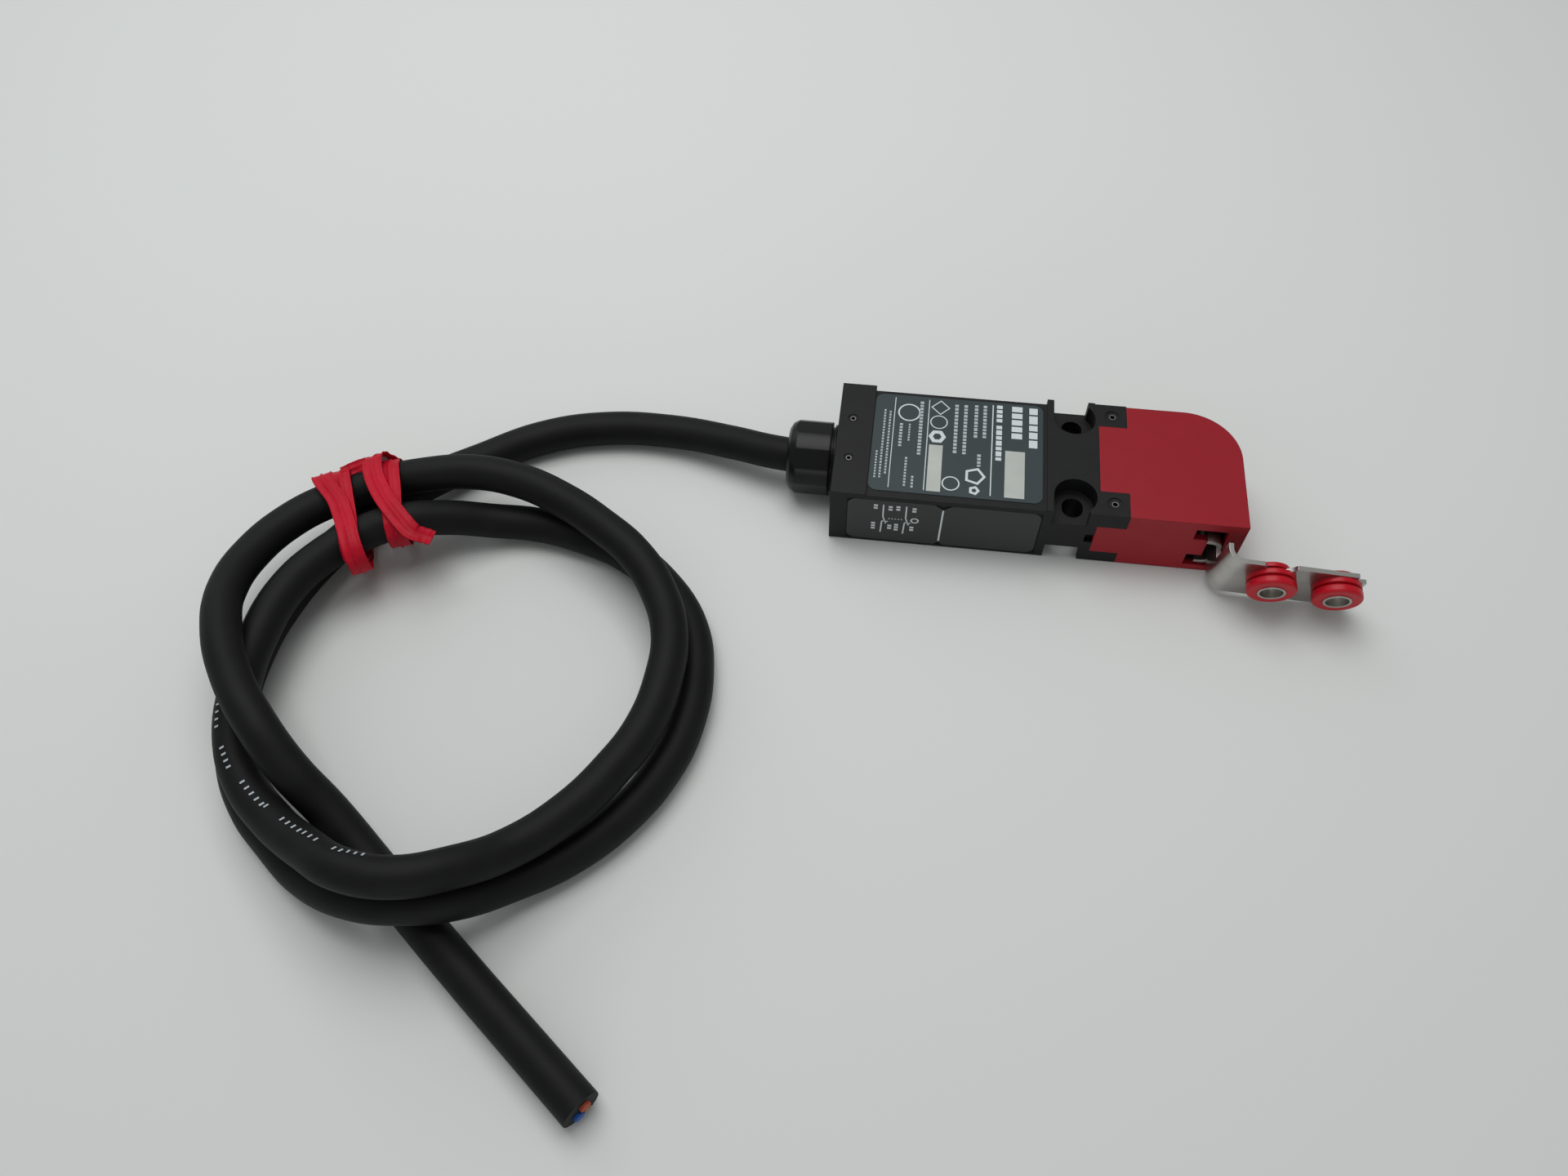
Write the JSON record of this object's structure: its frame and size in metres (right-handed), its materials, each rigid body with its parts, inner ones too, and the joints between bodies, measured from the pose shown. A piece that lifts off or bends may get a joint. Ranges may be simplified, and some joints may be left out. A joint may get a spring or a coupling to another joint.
{
  "type": "safety door switch",
  "caption": "Slim black door switch body with a red key head, its bent steel operation key in the slot, and a moulded cable in a tied coil.",
  "frame": {"origin": "midway between the two mounting holes, on the mounting face", "axes": "+X towards the red head, +Y across the body away from the key's side, +Z out of the label face"},
  "size_m": [0.2429, 0.1644, 0.025],
  "materials": {
    "case_plastic": "satin moulded plastic",
    "plug_plastic": "satin moulded plastic",
    "seal_rubber": "dull rubber",
    "pin_steel": "bright drawn steel",
    "gland_plastic": "satin moulded plastic",
    "head_plastic": "satin moulded plastic",
    "cam_plastic": "plain moulded plastic",
    "spring_steel": "bright wire",
    "contact_brass": "plain strip",
    "carrier_plastic": "plain moulded plastic",
    "front_label_film": "printed film",
    "side_label_film": "printed film",
    "key_steel": "rolled stainless sheet",
    "grommet_rubber": "glossy moulded rubber",
    "sleeve_steel": "turned steel",
    "cable_jacket": "satin jacket",
    "core_blue_plastic": "cut insulation",
    "core_brown_plastic": "cut insulation",
    "core_strand_copper": "cut strands",
    "tie_plastic": "creased ribbon"
  },
  "bodies": {
    "switch_body": {"switch_case": "case_plastic", "end_plug": "plug_plastic", "plug_seal": "seal_rubber", "plug_pin_a": "pin_steel", "plug_pin_b": "pin_steel", "gland_nut": "gland_plastic", "gland_seal": "seal_rubber", "head_shell": "head_plastic", "slot_liner": "plug_plastic", "head_pin_a": "pin_steel", "head_pin_b": "pin_steel", "head_seal": "seal_rubber", "cam_pin": "pin_steel", "plunger_seal": "seal_rubber", "return_spring": "spring_steel", "contact_base": "plug_plastic", "fixed_contacts": "contact_brass", "front_label": "front_label_film", "side_label": "side_label_film", "cable": "cable_jacket", "core_blue": "core_blue_plastic", "core_brown": "core_brown_plastic", "core_strands": "core_strand_copper", "cable_tie": "tie_plastic"},
    "operation_key": {"key_plate": "key_steel", "key_grommet_inner": "grommet_rubber", "key_grommet_outer": "grommet_rubber", "key_sleeve_inner": "sleeve_steel", "key_sleeve_outer": "sleeve_steel"},
    "cam": {"operating_cam": "cam_plastic"},
    "plunger_set": {"plunger": "cam_plastic", "contact_carrier": "carrier_plastic", "moving_contacts": "contact_brass", "contact_springs": "spring_steel"}
  },
  "joints": [
    {"name": "key_slide", "type": "slide", "parent": "switch_body", "child": "operation_key", "axis": [0, -1, 0], "range_m": [0, 0.014]},
    {"name": "cam_turn", "type": "hinge", "parent": "switch_body", "child": "cam", "pos_m": [0.0229, 0, 0.0085], "axis": [0, 0, -1], "range_deg": [0, 60]},
    {"name": "plunger_slide", "type": "slide", "parent": "switch_body", "child": "plunger_set", "axis": [-1, 0, 0], "range_m": [0, 0.003], "deforming": ["return_spring"]}
  ],
  "couplings": [
    {"joint": "cam_turn", "follows": "key_slide", "rad_per_m": 74.79},
    {"joint": "plunger_slide", "follows": "key_slide", "ratio": 0.2142}
  ]
}
